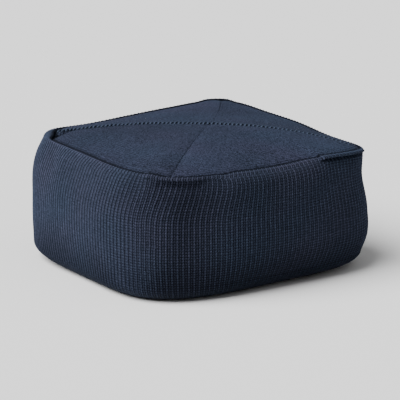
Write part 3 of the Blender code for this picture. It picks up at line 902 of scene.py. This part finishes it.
material, shader, start = new_material("navy_seam_yarn")
ply = start.node("ShaderNodeTexCoord", output="Object").noise(LOOP_PLY)
dress(material, shader, ply.mixed(NAVY, LOOP_LIGHT), ply, LOOP_PLY_DEPTH)
shader.inputs["Specular IOR Level"].default_value = YARN_GLOSS
loops_mesh.materials.clear()
loops_mesh.materials.append(material)
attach(seam_loops, "root")

# The base: one flat panel of dark woven cloth that closes the cover underneath. It is hidden
# in the photo, so it is plain.

BASE_SCALE = 0.967
BASE_RINGS = 24
WEAVE_PITCH = 1.6 * MM
WEAVE_DEPTH = 0.3 * MM
WEAVE_STRENGTH = 0.8
WEAVE_LIGHT = 0.7
FUZZ_LIGHT = 0.3
FUZZ = Grain(300.0, 3.0, 0.6)

outline = floor_row * [BASE_SCALE, BASE_SCALE, 0.0]
base_scales = np.linspace(1.0, 0.0, BASE_RINGS + 1)
base_rows = [outline * scale + [0, 0, PANEL_THICKNESS] - MIDDLE for scale in base_scales]
base_points = np.array(base_rows)[:, ::COLUMNS_PER_RIB]
threads_round = np.arange(base_points.shape[1] + 1, dtype=float)
threads_inwards = np.arange(BASE_RINGS + 1, dtype=float)
base_knit = np.stack(np.meshgrid(threads_round, threads_inwards), axis=2)
base = grid_piece("woven_base_panel", base_points, base_knit, {}, closed_round=True)
thicken(base)

material, shader, start = new_material("navy_base_cloth")
in_space = start.node("ShaderNodeTexCoord", output="Object")
east = in_space.node("ShaderNodeSeparateXYZ", None, {"Vector": in_space}, output="X")
north = in_space.node("ShaderNodeSeparateXYZ", None, {"Vector": in_space}, output="Y")
warp = (east / WEAVE_PITCH).wave()
weft = (north / WEAVE_PITCH).wave()
weave = warp.maths("MAXIMUM", weft)
cloth_light = weave * WEAVE_LIGHT + in_space.noise(FUZZ) * FUZZ_LIGHT
dress(material, shader, cloth_light.mixed(NAVY_DEEP_AND_GAP_SHADE, NAVY), weave, WEAVE_DEPTH, WEAVE_STRENGTH)
base.data.materials.append(material)
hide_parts("base_panel")
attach(base, "root")

# The studio: a plain pale floor, a broad soft light from high on the left, and a faint one from
# the front. The top and the left side are lit, and the front is in its own shade.

FLOOR_HALF = 30.0
FLOOR_COLOUR = (0.86, 0.86, 0.86, 1.0)
FLOOR_ROUGHNESS = 0.9
ROOM_COLOUR = (1.0, 1.0, 1.0, 1.0)
ROOM_LIGHT = 0.105

Sun = namedtuple("Sun", "name strength spread bearing height")
SUNS = [
    Sun("key", 6.6, 50.0, 176.0, 50.0),
    Sun("fill", 0.8, 100.0, 285.0, 55.0),
]


def direction(bearing, height):
    """The way to a place at this bearing from +X and this height over the floor, in degrees."""
    bearing, height = math.radians(bearing), math.radians(height)
    level = math.cos(height)
    return Vector((math.cos(bearing) * level, math.sin(bearing) * level, math.sin(height)))


bm = bmesh.new()
bmesh.ops.create_grid(bm, x_segments=1, y_segments=1, size=FLOOR_HALF)
floor_mesh = bpy.data.meshes.new("studio_floor")
bm.to_mesh(floor_mesh)
bm.free()
studio_floor = add_object("studio_floor", floor_mesh)
floor_material, floor_shader, _ = new_material("pale_floor")
floor_shader.inputs["Base Color"].default_value = FLOOR_COLOUR
floor_shader.inputs["Roughness"].default_value = FLOOR_ROUGHNESS
floor_mesh.materials.append(floor_material)

for sun in SUNS:
    sun_data = bpy.data.lights.new(sun.name, "SUN")
    sun_data.energy = sun.strength
    sun_data.angle = math.radians(sun.spread)
    light = add_object(sun.name, sun_data)
    light.rotation_euler = direction(sun.bearing, sun.height).to_track_quat("Z", "Y").to_euler()

world = bpy.data.worlds.new("studio")
world.use_nodes = True
room = world.node_tree.nodes["Background"]
room.inputs["Color"].default_value = ROOM_COLOUR
room.inputs["Strength"].default_value = ROOM_LIGHT
bpy.context.scene.world = world

# The camera stands where the photo was taken from: low, and facing the near corner. At an azimuth
# of 0 it would look along +Y.

CAMERA_AZIMUTH = -35.19
CAMERA_ELEVATION = 12.29
CAMERA_DISTANCE = 2.843
CAMERA_LENS = 120.1
CAMERA_SENSOR = 36.0
AIM_HEIGHT = 0.1247
AIM_RIGHT = 0.0069
AIM_UP = 0.0040

back = direction(CAMERA_AZIMUTH - 90.0, CAMERA_ELEVATION)
right = direction(CAMERA_AZIMUTH, 0.0)
up = back.cross(right)
aim = Vector((0.0, 0.0, AIM_HEIGHT)) - Vector(MIDDLE) + right * AIM_RIGHT + up * AIM_UP
camera_data = bpy.data.cameras.new("camera")
camera_data.lens = CAMERA_LENS
camera_data.sensor_width = CAMERA_SENSOR
camera = add_object("camera", camera_data)
camera.location = aim + back * CAMERA_DISTANCE
camera.rotation_euler = back.to_track_quat("Z", "Y").to_euler()
bpy.context.scene.camera = camera
